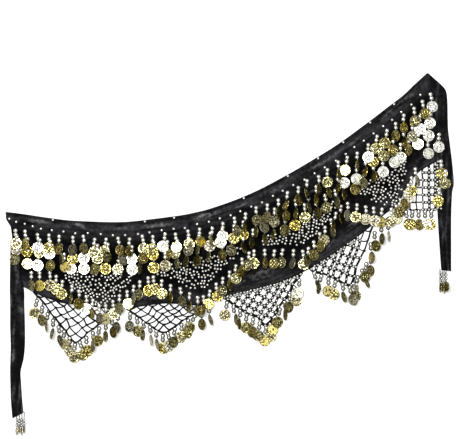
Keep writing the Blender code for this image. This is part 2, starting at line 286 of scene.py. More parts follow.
cordLook = {
    "dark": (0.002, 0.002, 0.002, 1), "grey": (0.014, 0.014, 0.015, 1),
    "twist": 1400.0, "deep": 0.0004,
}


def cordFinish():
    made = Finish("black_cord", Roughness=0.85, Specular_IOR_Level=0.04)
    twist = made.noise(made.place(), cordLook["twist"])
    made.feed("Base Color", made.mix(twist, cordLook["dark"], cordLook["grey"]))
    made.relief(twist, 0.4, cordLook["deep"])
    return made.material


finishes = {
    "velvet": velvetFinish(),
    "coin": coinFinish(),
    "bead": beadFinish("silver_bead"),
    "round bead": beadFinish("round_silver_bead"),
    "dark bead": beadFinish("shaded_silver_bead"),
    "cord": cordFinish(),
}
print("finishes made")


def paint(mesh, labels, values):
    for number, label in enumerate(labels):
        mesh.attributes.new(label, "FLOAT", "POINT").data.foreach_set("value", values[:, number])


# collects many small shapes into one mesh
class Heap:
    def __init__(self, *looks):
        self.looks, self.count = looks, 0
        self.points, self.faces, self.skins, self.marks = [], [], [], []

    def add(self, points, faces, look, marks=None):
        points = np.asarray(points, float)
        self.points.append(points)
        self.faces.extend([[corner + self.count for corner in face] for face in faces])
        self.skins += [self.looks.index(look)] * len(faces)
        self.marks.append(np.zeros((len(points), 4)) if marks is None else marks)
        self.count += len(points)

    def make(self, name, slot, nodes=()):
        mesh = bpy.data.meshes.new(name)
        mesh.from_pydata(toWorld(np.vstack(self.points)).tolist(), [], self.faces)
        for look in self.looks:
            mesh.materials.append(finishes[look])
        mesh.polygons.foreach_set("material_index", self.skins)
        marks = np.vstack(self.marks)
        if marks.any():
            paint(mesh, ("relief", "tone", "wear", "polish"), marks)
        mesh.shade_smooth()
        dress(name, mesh, nodes)


def dropHeap():
    return Heap("coin", "bead", "round bead", "dark bead", "cord")


def placed(name, data):
    made = bpy.data.objects.new(name, data)
    bpy.context.scene.collection.objects.link(made)
    return made


def dress(name, mesh, nodes=()):
    made = placed(name, mesh)
    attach(made, "root")
    if nodes:
        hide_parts(*nodes)
    return made


def ballTemplate(detail):
    ball = bmesh.new()
    bmesh.ops.create_icosphere(ball, subdivisions=detail, radius=1)
    points = np.array([corner.co[:] for corner in ball.verts])
    faces = [[corner.index for corner in face.verts] for face in ball.faces]
    ball.free()
    return points, faces


ball = ballTemplate(2)
smallBall = ballTemplate(1)


def addBead(heap, x, y, z, radius, look="bead", seat=0.0, flat=1.0):
    # on a net it sits in a ring of black thread, this much wider than the bead
    heap.add(ball[0] * (radius, radius, radius * flat) + (x, y, z), ball[1], look)
    if seat:
        wide = radius + seat
        heap.add(smallBall[0] * (wide, wide, 0.7) + (x, y, z - radius * 0.35), smallBall[1], "cord")


def addTube(heap, route, radius, look="cord", sides=6, flat=1.0):
    # flat is the tube's height against its width
    route = np.asarray(route, float)
    runs = np.gradient(route, axis=0)
    runs /= np.linalg.norm(runs, axis=1)[:, None]
    side = np.cross(runs, (0, 0, 1))
    side /= np.maximum(np.linalg.norm(side, axis=1), 1e-6)[:, None]
    up = np.cross(side, runs) * flat
    points, faces = [], []
    for number in range(len(route)):
        for turn in range(sides):
            angle = math.tau * turn / sides
            outward = math.cos(angle) * side[number] + math.sin(angle) * up[number]
            points.append(route[number] + radius * outward)
    for number in range(len(route) - 1):
        for turn in range(sides):
            a, b = number * sides + turn, number * sides + (turn + 1) % sides
            faces.append((a, b, b + sides, a + sides))
    heap.add(points, faces, look)
    for number, order in ((0, -1), (len(route) - 1, 1)):
        rim = points[number * sides : (number + 1) * sides]
        fan = [(sides, turn, (turn + 1) % sides)[::order] for turn in range(sides)]
        heap.add(rim + [route[number]], fan, look)


# velvet strip
stripFolds = {
    # soft swells: place and reach along, place and reach across, height
    "broad": [
        (0.10, 0.045, 0.06, 0.08, 1.6), (0.22, 0.060, 0.07, 0.07, 2.4),
        (0.36, 0.040, 0.05, 0.08, 1.8), (0.47, 0.070, 0.07, 0.07, 2.8),
        (0.63, 0.050, 0.06, 0.08, 2.0), (0.78, 0.060, 0.07, 0.07, 2.4),
        (0.91, 0.040, 0.06, 0.08, 1.6), (0.215, 0.040, 0.76, 0.09, 2.2),
        (0.420, 0.050, 0.76, 0.09, 1.8),
    ],
    # creases: middle x, y, length, width, angle, height, bend
    "creases": [
        (-262, 48, 46, 9, -17, 1.6, 2), (-330, 56, 60, 8, -8, 1.2, -6),
        (-190, 44, 70, 9, 4, 1.3, 5), (-118, 50, 52, 8, 9, 1.4, 0),
        (-50, 66, 62, 9, 14, 1.7, -6), (20, 84, 58, 8, 24, 1.5, 0),
        (84, 113, 50, 9, 31, 1.3, 6), (150, 152, 64, 8, 30, 1.6, 0),
        (216, 194, 56, 9, 40, 1.5, 5), (272, 240, 46, 8, 42, 1.4, 0),
        (322, 280, 44, 9, 44, 1.5, 0), (-160, -72, 58, 10, -22, 1.6, 6),
        (-128, -66, 46, 9, 26, 1.3, 0), (16, -52, 54, 10, 18, 1.5, 0),
        (62, -30, 60, 10, 14, 1.5, -7), (176, 16, 48, 9, 48, 1.4, 0),
        (226, 58, 56, 10, 26, 1.7, 6), (252, 64, 40, 9, 40, 1.3, 0),
        (340, 200, 40, 8, 62, 1.2, 0),
    ],
    # patches of painted sheen along the folds: the same, with strength for height
    "paintedShine": [
        (-36, 67, 66, 17, 13, 1.0, 0), (-130, 48, 90, 14, 6, 0.45, 0),
        (-262, 50, 34, 8, -18, 0.9, 0), (-281, 46, 22, 8, -20, 0.6, 0),
        (-340, 57, 60, 12, -8, 0.35, 0), (60, 104, 60, 12, 26, 0.4, 0),
        (180, 170, 80, 12, 34, 0.35, 0), (300, 264, 84, 15, 43, 0.6, 0),
        (-145, -78, 70, 26, -6, 0.45, 0), (45, -42, 96, 26, 14, 0.42, 0),
        (226, 60, 74, 30, 24, 0.55, 0), (150, 110, 60, 16, 34, 0.35, 0),
    ],
    # crush: height, reach in x and y; grain: repeats along and across; each ends with a seed
    "crush": (0.55, 19, 13, 3.1), "grain": (30, 42, 5.5),
    # light on the crest of a crease
    "crest": 0.34,
    # painted sheen in bands at the long edges: reach, strength, dull rim and its light
    "topBand": (0.30, 0.9, 0.04, 0.35), "lowBand": (0.26, 0.75, 0.015, 0.3),
}


def edgeBand(distance, band):
    reach, strength, rim, rimLight = band
    return strength * (bump(distance / reach) if distance > rim else rimLight)


def limited(value):
    return min(1.0, max(0.0, value))


def near(value, spread):
    return value + random.gauss(0, spread)


stripRows = smoothRows(scarf["sections"], scarf["stepsAlong"])
topEdge, lowEdge = stripRows[:, :2], stripRows[:, 2:]


def stripSheet():
    rows, wide = stripRows, scarf["stepsAcross"]
    crushHigh, crushX, crushY, crushSeed = stripFolds["crush"]
    grainAlong, grainAcross, grainSeed = stripFolds["grain"]
    alongs = np.linspace(0, 1, len(rows))
    acrosses = np.linspace(0, 1, wide + 1)
    bulges = np.interp(acrosses, *zip(*scarf["leftEnd"]))
    points, lows, sheenMarks = [], [], []
    for along, row in zip(alongs, rows):
        for across, bulge in zip(acrosses, bulges):
            x, y = row[:2] + (row[2:] - row[:2]) * across
            x += bulge * max(0.0, 1 - along * 40)
            lift = max(
                height * bump((along - at) / reach) * bump((across - side) / width)
                for at, reach, side, width, height in stripFolds["broad"]
            )
            crease = sum(ridge(x, y, item) for item in stripFolds["creases"])
            crush = crushHigh * abs(noise.noise(Vector((x / crushX, y / crushY, crushSeed))))
            edge = min(across, 1 - across) * wide
            endwise = min(along, 1 - along) * (len(rows) - 1)
            rounded = scarf["hemRound"] * max(0.0, 1 - min(edge, endwise) / 2) ** 2
            lows.append((x, y, lift))
            points.append((x, y, lift + scarf["velvet"] + crease + crush - rounded))
            grain = noise.noise(Vector((along * grainAlong, across * grainAcross, grainSeed)))
            # painted sheen: patches along the folds, light on the crease crests and bands along the
            # long edges
            paintedShine = sum(ridge(x, y, item) for item in stripFolds["paintedShine"]) * (0.75 + 1.3 * grain)
            top = edgeBand(across, stripFolds["topBand"])
            low = edgeBand(1 - across, stripFolds["lowBand"])
            band = max(top, low) * (1 + 1.6 * grain)
            sheenMarks.append((limited(band), limited(paintedShine + crease * stripFolds["crest"])))
    return len(rows), wide + 1, points, lows, sheenMarks


def shellMesh(name, tall, wide, points, lows, sheenMarks):
    count = tall * wide
    faces = []
    for row in range(tall - 1):
        for side in range(wide - 1):
            a = row * wide + side
            faces.append((a, a + wide, a + wide + 1, a + 1))
            faces.append((count + a, count + a + 1, count + a + wide + 1, count + a + wide))
    rim = list(range(wide))
    rim += [row * wide + wide - 1 for row in range(1, tall)]
    rim += [(tall - 1) * wide + side for side in range(wide - 2, -1, -1)]
    rim += [row * wide for row in range(tall - 2, 0, -1)]
    for first, second in zip(rim, rim[1:] + rim[:1]):
        faces.append((first, second, second + count, first + count))
    mesh = bpy.data.meshes.new(name)
    mesh.from_pydata(toWorld(points + lows).tolist(), [], faces)
    solid = bmesh.new()
    solid.from_mesh(mesh)
    bmesh.ops.recalc_face_normals(solid, faces=solid.faces)
    solid.to_mesh(mesh)
    solid.free()
    paint(mesh, ("band", "nap"), np.array(sheenMarks + sheenMarks))
    mesh.materials.append(finishes["velvet"])
    mesh.shade_smooth()
    return mesh


tall, wide, stripPoints, stripLows, stripSheenMarks = stripSheet()
strip = dress(
    "velvet_strip",
    shellMesh("velvet_strip", tall, wide, stripPoints, stripLows, stripSheenMarks),
    ["body_panel"],
)
stripTree = BVHTree.FromObject(strip, bpy.context.evaluated_depsgraph_get())
print("strip made")


def clothHeight(x, y):
    # height of the cloth at a point, or None beside it
    start = Vector(toWorld([x, y, 100]))
    hit = stripTree.ray_cast(start, Vector((0, 0, -1)))[0]
    return None if hit is None else hit.z / mm


def lowY(x):
    return float(np.interp(x, lowEdge[:, 0], lowEdge[:, 1]))


# ties
ties = {
    # y, outer x, inner x
    "left": [
        (24, -383, -380.6), (-15, -384, -371.2), (-59, -384.5, -360.6), (-90, -384, -359.5),
        (-125, -384, -358.5), (-160, -383, -358.5), (-185, -383.5, -361), (-207, -384, -366),
        (-230, -383.5, -365), (-260, -382.5, -363), (-288.5, -380, -361),
    ],
    "right": [
        (315.5, 348.2, 346.6), (307, 357.5, 347.2), (295, 371, 348.3), (284, 379, 349.6),
        (264, 381.5, 351.3), (220, 382.5, 355.6), (190, 386, 358.5), (161, 389.5, 361.4),
        (146, 391, 361.8), (122, 392.5, 362.3), (104, 389.5, 362.9), (62, 388, 364.9),
        (15, 388, 367.8), (-31, 388, 371),
    ],
    # how much higher the inner side of each lower end is cut
    "slant": {"left": 10, "right": 2},
    # each outline with a 3 mm hem all round
    "flat": {"left": (0.032, 0.33), "right": (0.052, 0.355)},
    "freeFrom": {"left": -59, "right": 76},
    # shift of the inner edge, then a seed of the grain
    "inward": {"left": 0.45, "right": -0.45},
    "grain": {"left": 7.7, "right": 1.3},
    "steps": 10, "wide": 20,
    # height, length and shift of the folds between its flat edges
    "fold": (3.0, 31, 2.3), "folds": 4,
    # length over which folds begin and the end slants, then the wrinkles' height
    "ease": 30, "wrinkle": 1.1,
}


def tieFolds(side, y):
    high, reach, shift = ties["fold"]
    freed = limited((ties["freeFrom"][side] - y) / ties["ease"])
    waves = [math.sin(y / reach + shift * line) for line in range(1, ties["folds"])]
    return [0] + [high * freed * (0.5 + 0.5 * wave) for wave in waves] + [0]


def makeTie(side):
    rows = smoothRows(ties[side], ties["steps"])
    wide = ties["wide"]
    points, lows, sheenMarks = [], [], []
    for y, outerX, innerX in rows:
        innerX += ties["inward"][side]
        heights = tieFolds(side, y)
        for number in range(wide + 1):
            share = number / wide
            x = outerX + (innerX - outerX) * share
            place = share * ties["folds"]
            first = min(ties["folds"] - 1, int(place))
            lift = heights[first] + (heights[first + 1] - heights[first]) * (place - first)
            grain = noise.noise(Vector((x / 5, y / 34, ties["grain"][side])))
            rounded = max(0.0, 1 - min(number, wide - number) / 2) ** 2
            ended = max(0.0, 1 - (y - rows[-1][0]) / ties["ease"])
            cutY = y + ties["slant"][side] * share * ended
            lows.append((x, cutY, lift))
            top = lift + scarf["velvet"] + ties["wrinkle"] * abs(grain) - rounded
            points.append((x, cutY, top))
            # painted sheen on the tie: a faint band everywhere and streaks where the grain noise is
            # high
            sheenMarks.append((0.10 + max(0.0, grain) * 1.3, max(0.0, grain - 0.16) * 0.9))
    name = side + "_tie_velvet"
    mesh = shellMesh(name, len(rows), wide + 1, points, lows, sheenMarks)
    made = dress(name, mesh, [side + "_tie"])


makeTie("left")
makeTie("right")
print("ties made")


# coins: stamped sheets with a raised rim
coin = {
    "radius": 10.0, "thick": 0.5,
    "rings": [0, 0.09, 0.18, 0.27, 0.36, 0.45, 0.53, 0.61, 0.69, 0.76, 0.83, 0.89, 0.95, 1.0],
    "turns": 40, "relief": 1.2,
    # relief values of its edge and its back; the low edge value also paints a thin dark outline of
    # shade round the coin
    "edge": 0.15, "back": 0.6,
    # width and height of the rim of its plain back
    "backRim": (0.9, 0.25),
    # its middle below the first bead
    "drop": 22.0,
}


def stampHeight(pattern, radius, angle):
    # 0 to 1, of this object's own flowers, stars, lattices and dotted rings
    if radius > 0.92:
        return 0.9
    dots = 0.9 * max(0.0, math.cos(20 * angle)) * bump((radius - 0.8) / 0.1)
    x, y = radius * math.cos(angle), radius * math.sin(angle)
    if pattern == "flower":
        petals = 0.5 + 0.5 * math.cos(8 * angle)
        return max(bump(radius / 0.2), petals * bump((radius - 0.45) / 0.24), dots)
    if pattern == "star":
        ray = abs(((angle * 10 / math.tau) % 1) - 0.5) * 2
        return max(0.85 * bump((radius - 0.3 - 0.3 * ray) / 0.16), bump(radius / 0.12), dots)
    if pattern == "lattice":
        woven = math.sin(9.5 * x + 1.2) * math.sin(9.5 * y)
        return max(0.5 + 0.5 * woven, dots)
    if pattern == "leaves":
        curl = 0.5 + 0.5 * math.cos(7 * angle + 11 * radius)
        return max(curl * bump((radius - 0.42) / 0.42), dots)
    return 0.78


def coinTemplate(pattern):
    rings, turns = coin["rings"], coin["turns"]
    tops, marks = [(0, 0, stampHeight(pattern, 0, 0))], []
    for ring in rings[1:]:
        for turn in range(turns):
            angle = math.tau * turn / turns
            height = stampHeight(pattern, ring, angle)
            tops.append((ring * math.cos(angle), ring * math.sin(angle), height))
    tops = np.array(tops)
    relief = tops[:, 2].copy()
    relief[-turns:] = coin["edge"]
    tops[:, :2] *= coin["radius"]
    tops[:, 2] = (relief - 0.5) * coin["relief"] + coin["thick"] / 2
    wide, high = coin["backRim"]
    rim = tops[-turns:] - (0, 0, coin["thick"])
    backs = np.vstack([rim, rim * (wide, wide, 1) + (0, 0, high), [(0, 0, -coin["thick"] / 2)]])
    end, faces = len(tops) + turns, []
    for turn in range(turns):
        after = (turn + 1) % turns
        faces.append((0, 1 + turn, 1 + after))
        for ring in range(len(rings)):
            a, b = 1 + ring * turns + turn, 1 + ring * turns + after
            faces.append((a, a + turns, b + turns, b))
        faces.append((end + turn, end + turns, end + after))
    marks = np.concatenate([relief, np.full(len(backs), coin["back"])])
    return np.vstack([tops, backs]), faces, marks


usual = ["flower", "star", "lattice", "leaves", "lattice", "leaves", "flower", "plain"]
coins = {pattern: coinTemplate(pattern) for pattern in sorted(set(usual))}


def addCoin(heap, pattern, centre, lean, size, look):
    points, faces, relief = coins[pattern]
    spin = Matrix.Rotation(random.uniform(0, 6.28), 3, "Z")
    matrix = np.array(lean.to_matrix() @ spin)
    marks = np.column_stack([relief] + [np.full(len(relief), share) for share in look])
    heap.add((points * size) @ matrix.T + centre, faces, "coin", marks)


drop = {
    # round beads, where the second one lies and the link ends, then the link's own sizes
    "bead": 3.65, "beadFlat": 0.58, "second": 6.9, "link": 11.5,
    "linkBead": 1.35, "linkTube": 0.5,
    # on nets the beads are smaller, in a seat of thread
    "netBead": 0.78, "netSeat": 1.7,
    # degrees of swing and pitch, then how far its beads shift sideways
    "swing": {"velvet": 5, "net": 8},
    "pitch": 4.5, "wobble": 0.9,
    # how far a coin turns, in degrees
    "facing": 6, "partly": (24, 55), "edgeOn": (62, 74),
    # no coin reaches higher, and the room that its tilt takes
    "highest": 24.1, "spare": 4.6,
    # share of coins turned partly away and nearly edge-on, by place
    "turned": {
        "velvet": (0.26, 0.12), "rightEnd": (0.12, 0.0), "sparse": (0.22, 0.56),
        "zigzag": (0.34, 0.16), "net": (0.30, 0.32), "golden": (0.30, 0.10),
    },
    # share of coins that are gold, dull and painted white with glare, then the least wear
    "tones": {
        "left": (0.15, 0.10, 0.25, 0.0), "right": (0.18, 0.06, 0.50, 0.0),
        "rightEnd": (0.06, 0.0, 0.84, 0.0), "sparse": (0.34, 0.20, 0.12, 0.1),
        "zigzag": (0.26, 0.30, 0.08, 0.15), "net": (0.20, 0.56, 0.0, 0.55),
        "golden": (0.60, 0.0, 0.40, 0.0),
    },
    # a coin with painted white glare turned further than this loses the glare and is painted gold
    "goldenFrom": 0.35,
    # the brighter right part, with more coins painted with glare, and the right end begin here
    "rightFrom": 130, "rightEndFrom": 322,
}


def coinLookFor(x, place):
    side = "right" if x > drop["rightFrom"] else "left"
    if x > drop["rightEndFrom"]:
        side = "rightEnd"
    gold, dull, bright, wearAndShade = drop["tones"].get(place, drop["tones"][side])
    chance = random.random()
    if chance < gold:
        return random.uniform(0.7, 1.0), wearAndShade + random.uniform(0, 0.2), random.uniform(0, 0.12)
    if chance < gold + dull:
        return random.uniform(0.1, 0.5), random.uniform(0.6, 1.0), random.uniform(0, 0.4)
    if chance < gold + dull + bright:
        return random.uniform(0, 0.1), 0.0, random.uniform(0.8, 1.0)
    return random.uniform(0, 0.3), wearAndShade + random.uniform(0, 0.25), random.uniform(0, 0.3 - wearAndShade / 2)


def coinTurn(x, place):
    # degrees: facing, partly turned or nearly edge-on
    atRightEnd = place == "velvet" and x > drop["rightEndFrom"]
    partly, edgeOn = drop["turned"]["rightEnd" if atRightEnd else place]
    chance = random.random()
    if chance < edgeOn:
        turn = random.uniform(*drop["edgeOn"])
    elif chance < edgeOn + partly:
        turn = random.uniform(*drop["partly"])
    else:
        turn = near(0, drop["facing"])
    return turn * random.choice((-1, 1))


def addDrop(heap, x, y, base, rise, place, turn=None):
    # two round beads, a link and a coin, hanging straight down the picture
    onNet = place in ("net", "golden")
    swing = math.radians(near(0, drop["swing"]["net" if onNet else "velvet"]))
    turn = math.radians(coinTurn(x, place) if turn is None else turn)
    top = (drop["highest"] - base - drop["spare"]) / (1.9 * coin["radius"])
    if abs(math.sin(turn)) > top:
        turn = math.copysign(math.asin(top), turn)
    pitch = -math.atan(rise) + math.radians(near(0, drop["pitch"]))
    down = Vector((math.sin(swing), -math.cos(swing), 0))
    side = Vector((math.cos(swing), math.sin(swing), 0))
    seat = drop["netSeat"] if onNet else 0.0
    size = drop["bead"] * (drop["netBead"] if onNet else 1.0)

    def spot(below, aside, up):
        at = Vector((x, y, 0)) + down * below + side * aside
        return at.x, at.y, base + rise * below + up

    wobble = random.uniform(-drop["wobble"], drop["wobble"])
    lower = "dark bead" if onNet else "round bead"
    flat, second = drop["beadFlat"], drop["second"]
    addBead(heap, *spot(0, 0, size * flat), size, "round bead", seat, flat)
    addBead(heap, *spot(second, wobble, size * flat), size, lower, seat, flat)
    addBead(heap, *spot(second / 2, wobble / 2, 1.3), drop["linkBead"], "dark bead", seat)
    lift = coin["radius"] * abs(math.sin(turn)) * 0.9
    link = [spot(-0.5, 0, 1.2), spot(second, 0, 1.4), spot(drop["link"], 0, 1.0 + lift * 0.9)]
    addTube(heap, link, drop["linkTube"], "cord" if seat else "bead", 5)
    centre = spot(coin["drop"] + random.uniform(-0.8, 0.6), 0, 1.2 + lift)
    pattern = random.choice(usual)
    tone, wear, polish = coinLookFor(x, place)
    # painted glare only on coins that face the lights; a turned one is painted gold
    if polish > 0.5 and abs(turn) > drop["goldenFrom"]:
        tone, polish = 0.9, 0.1
    addCoin(heap, pattern, centre, Euler((pitch, turn, swing)), 1.0, (tone, wear, polish))


rows = {
    # distance of the coins from the top edge, then how short the row stops at each end
    "upper": (48, 20, 34), "middle": (65, 28, 54), "lower": (83, 30, 73),
    "pitch": 20.0, "segments": 6, "scatter": (1.3, 1.5),
    # climb of a drop on the one below, and its start above the cloth
    "rise": 0.1, "above": 0.1,
    # stretches where most coins hang turned away
    "sparse": {
        "upper": [(2, 42), (66, 118), (140, 232)],
        "middle": [(-132, -28), (2, 60), (90, 200)],
        "lower": [(-112, -28), (20, 118), (150, 215)],
    },
    # how much lower the first row hangs left of this x, and over what length
    "leftLower": (4.5, 60, 80), "leftmost": -374,
    # two drops past the end of the third row
    "beyond": [(347, 197), (366, 208)],
}


def besideTopEdge(offset):
    runs = np.gradient(topEdge, axis=0)
    normals = np.column_stack([runs[:, 1], -runs[:, 0]]) / np.hypot(*runs.T)[:, None]
    return topEdge + normals * offset


def onCloth(x, y):
    return (clothHeight(x, y) or scarf["velvet"]) + rows["above"]


def longRows():
    lower, lowerFrom, lowerOver = rows["leftLower"]
    aside, below = rows["scatter"]
    for name in ("upper", "middle", "lower"):
        offset, first, last = rows[name]
        line = besideTopEdge(offset) + np.array([0, coin["drop"]])
        run = lengthOf(line) - first - last
        count = int(run / rows["pitch"]) + 1
        places = first + run / (count - 1) * np.arange(count)
        for part, chosen in enumerate(np.array_split(places, rows["segments"])):
            heap = dropHeap()
            for x, y in spaced(line, chosen):
                x, y = max(rows["leftmost"], near(x, aside)), near(y, below)
                if name == "upper":
                    y -= lower * limited((lowerFrom - x) / lowerOver)
                thin = any(left < x < right for left, right in rows["sparse"][name])
                place = "sparse" if thin else "velvet"
                addDrop(heap, x, y, onCloth(x, y), rows["rise"], place)
            if name == "lower" and part + 1 == rows["segments"]:
                for x, y in rows["beyond"]:
                    base = (clothHeight(x, y) or 3.0) + 0.2
                    addDrop(heap, x, y, base, rows["rise"], "velvet", near(0, 8))
            heap.make(f"{name}_coins_{part + 1}", "coin_metal", [f"coins_{name}_{part + 1}"])


longRows()
print("long rows made")

zigzag = {
    "turns": [
        (-352, -33), (-312, -33), (-221, -95), (-139, -38), (-50, -80), (38, 5), (135, 4),
        (200, 88), (289, 76), (329, 151),
    ],
    "margin": 6.0, "pitch": 14.6, "scatter": 0.8,
    # every other drop lies this much higher
    "step": 0.5,
}


def zigzagRow():
    turns = np.array(zigzag["turns"], float)
    sides = [turns[:3]] + [turns[first : first + 2] for first in range(2, len(turns) - 1)]
    for number, side in enumerate(sides):
        run = lengthOf(side) - 2 * zigzag["margin"]
        count = int(run / zigzag["pitch"]) + 1
        heap = dropHeap()
        for order, (x, y) in enumerate(spaced(side, zigzag["margin"] + np.linspace(0, run, count))):
            x, y = near(x, zigzag["scatter"]), near(y, zigzag["scatter"])
            base = onCloth(x, y) + zigzag["step"] * (order % 2)
            addDrop(heap, x, y, base, rows["rise"], "zigzag")
        heap.make(f"zigzag_coins_{number + 1}", "coin_metal", [f"coins_zigzag_{number + 1}"])


zigzagRow()
print("zigzag made")

# nets of knotted cord
nets = {
    # left x, right x, lowest point x, y, cells along the top, share of the cords with beads
    "triangles": [
        ("net_1", -343, -187, -269, -155, 8, 0.0),
        ("net_2", -181, -30, -115, -139, 8, 0.0),
        ("net_3", -12, 127, 66, -125, 8, 1.0),
        ("net_4", 140, 252, 212, -54, 7, 0.8),
    ],
    # radii: plain cords, a net's own edge, then cords and edges that carry beads
    "cord": 1.15, "edgeCord": 1.5, "beadedCord": 2.3, "beadedEdge": 2.2,
    # a cord's greatest half height, its middle, sag and steps
    "highest": 1.05, "middle": 1.1, "sag": 0.9, "steps": 4,
    # how uneven cords and knots are
    "uneven": (0.8, 1.3),
    # a knot's random shift, radius and height, then a bead and its seat
    "loose": 1.6, "knot": 2.3, "knotHigh": 1.15, "bead": 1.75, "seat": 1.2,
    # height of the beads, and the pitch of those along a seam
    "beadAt": 2.65, "seamPitch": 5.8,
    # start of a net and its seam cord over the cloth, then the coins' pitch
    "under": -0.8, "seam": -0.4, "coinPitch": 13.2,
    # room at the corner and the lowest point
    "room": {"left": (9.0, 2.0), "right": (9.0, 9.0)},
    # degrees and spread: facing, turned or edge-on
    "kinds": {"f": (0, 7), "t": (40, 7), "e": (71, 3)},
    # the coins' kinds from the corner to the lowest point, left then right
    "turns": {
        "net_1": ("fteeefff", "ttefeff"),
        "net_2": ("tfeeef", "etffftf"),
        "net_3": ("feeftff", "fftefff"),
        "net_4": ("eeffet", "tteeff"),
    },
    # how far drops hang below the net, and the first five of the first net
    "hang": {"usual": 4.0, "first": 8.0},
    "rise": 0.03, "above": 0.3, "step": 0.6,
    # drops above the steep edge of the fourth net
    "extraDrops": {("net_4", "right"): [(247, 16), (254, 36), (266, 48), (277, 52)]},
    "steepest": 1.5,
}


def underEdge(x, gap):
    slope = (lowY(x + 1) - lowY(x - 1)) / 2
    return x, lowY(x) - gap * math.hypot(1, slope)


def netBase(order):
    return nets["above"] + nets["step"] * (order % 2)


def netBead(heap, x, y, height=nets["beadAt"], wider=0.0):
    addBead(heap, x, y, height, nets["bead"], "bead", nets["seat"] + wider)


def addSeam(heap, leftX, rightX, count):
    route = [(*underEdge(x, nets["seam"]), 1.0) for x in np.linspace(leftX, rightX, count)]
    addTube(heap, route, nets["cord"])


def addCord(heap, first, second, radius, sag, beaded):
    first, second = np.array(first), np.array(second)
    middle = np.array([near(0, 0.35), near(-sag, 0.3)])
    route = []
    for step in range(nets["steps"] + 1):
        share = step / nets["steps"]
        x, y = first + (second - first) * share + middle * math.sin(math.pi * share)
        route.append((x, y, nets["middle"] + 0.15 * math.sin(7 * x)))
    thick = nets["beadedCord"] if beaded else radius * random.uniform(*nets["uneven"])
    addTube(heap, route, thick, flat=min(1.0, nets["highest"] / thick))
    if beaded:
        netBead(heap, *((first + second) / 2 + middle))


def addKnot(heap, x, y, size):
    wide = nets["knot"] * size
    heap.add(ball[0] * (wide, wide * 0.8, nets["knotHigh"]) + (x, y, 1.25), ball[1], "cord")


def triangularNet(name, leftX, rightX, apexX, apexY, cells, beadedShare):
    heap = Heap("bead", "cord")
    knots = {}
    beadLine = leftX + (rightX - leftX) * beadedShare
    for row in range(cells + 1):
        for column in range(cells - row + 1):
            depth = row / cells
            across = column / (cells - row) if row < cells else 0
            x, y = underEdge(leftX + (rightX - leftX) * across, nets["under"])
            loose = nets["loose"] if row else 0.0
            knots[row, column] = (
                near(x + (apexX - x) * depth, loose),
                near(y + (apexY - y) * depth, loose),
            )
    for (row, column), here in knots.items():
        for below in ((row + 1, column - 1), (row + 1, column)):
            if below in knots:
                edge = column + row == cells or column == 0
                beaded = beadedShare > 0 and (here[0] + knots[below][0]) / 2 < beadLine
                radius = nets["beadedEdge" if beaded else "edgeCord"] if edge else nets["cord"]
                addCord(heap, here, knots[below], radius, nets["sag"], beaded and not edge)
        x, y = here
        if row and beadedShare > 0 and x < beadLine:
            netBead(heap, x, y, wider=0.2)
        elif row:
            addKnot(heap, x, y, random.uniform(*nets["uneven"]))
    addSeam(heap, leftX, rightX, 4 * cells)
    if beadedShare > 0:
        # beads along the seam
        for x in np.arange(leftX + 3, beadLine - 2, nets["seamPitch"]):
            x, y = underEdge(x, near(1.2, 0.4))
            netBead(heap, x, y, nets["beadAt"] + 0.3)
    heap.make(name + "_cords", "net_cord", [name])


def netCoins(name, leftX, rightX, apexX, apexY):
    apex = np.array([apexX, apexY - 2.0])
    for side, cornerX, turns in zip(("left", "right"), (leftX, rightX), nets["turns"][name]):
        corner = np.array(underEdge(cornerX, 0.5))
        run = apex - corner
        steepness = abs(run[1] / run[0])
        if steepness > nets["steepest"]:
            corner = apex - np.array([run[0], run[1] * nets["steepest"] / steepness])
        length = math.dist(corner, apex)
        start, end = nets["room"][side]
        count = int((length - start - end) / nets["coinPitch"]) + 1
        heap = dropHeap()
        for order, along in enumerate(np.linspace(start, length - end, count)):
            x, y = corner + (apex - corner) * along / length
            first = name == "net_1" and side == "left" and order < 5
            hung = y - nets["hang"]["first" if first else "usual"]
            addTube(heap, [(x, y, nets["middle"]), (x, hung, 1.6)], 1.0)
            kind = nets["kinds"][turns[min(order, len(turns) - 1)]]
            turn = random.gauss(*kind) * random.choice((-1, 1))
            addDrop(heap, x, hung, netBase(order), nets["rise"], "net", turn)
        for x, y in nets["extraDrops"].get((name, side), ()):
            addDrop(heap, x, y, 0.5, nets["rise"], "net")
        node = name.replace("net", "net_coins")
        heap.make(f"{name}_{side}_coins", "coin_metal", [f"{node}_{side}"])


for net in nets["triangles"]:
    triangularNet(*net)
    netCoins(*net[:5])
print("triangular nets made")

squareNet = {
    "left": 316.0, "right": 360.0, "foot": 77.0, "columns": 4, "row": 13.0,
    # from these x on, its cords and its knots carry beads
    "beadsFrom": 338.0, "knotsFrom": 332.0, "scatter": 0.6,
    # two lines of beads on the tie: their x, top and height
    "onTie": ((363.5, 369.0), 162, 3.7),
    "coins": (309, 320, 331, 342, 353), "coinsAt": 73.0,
    # three drops hang over the tie
    "tieCoins": [(369, 161, "zigzag"), (377, 144, "velvet"), (366, 113, "zigzag")],
    "tieHigh": 4.8,
}


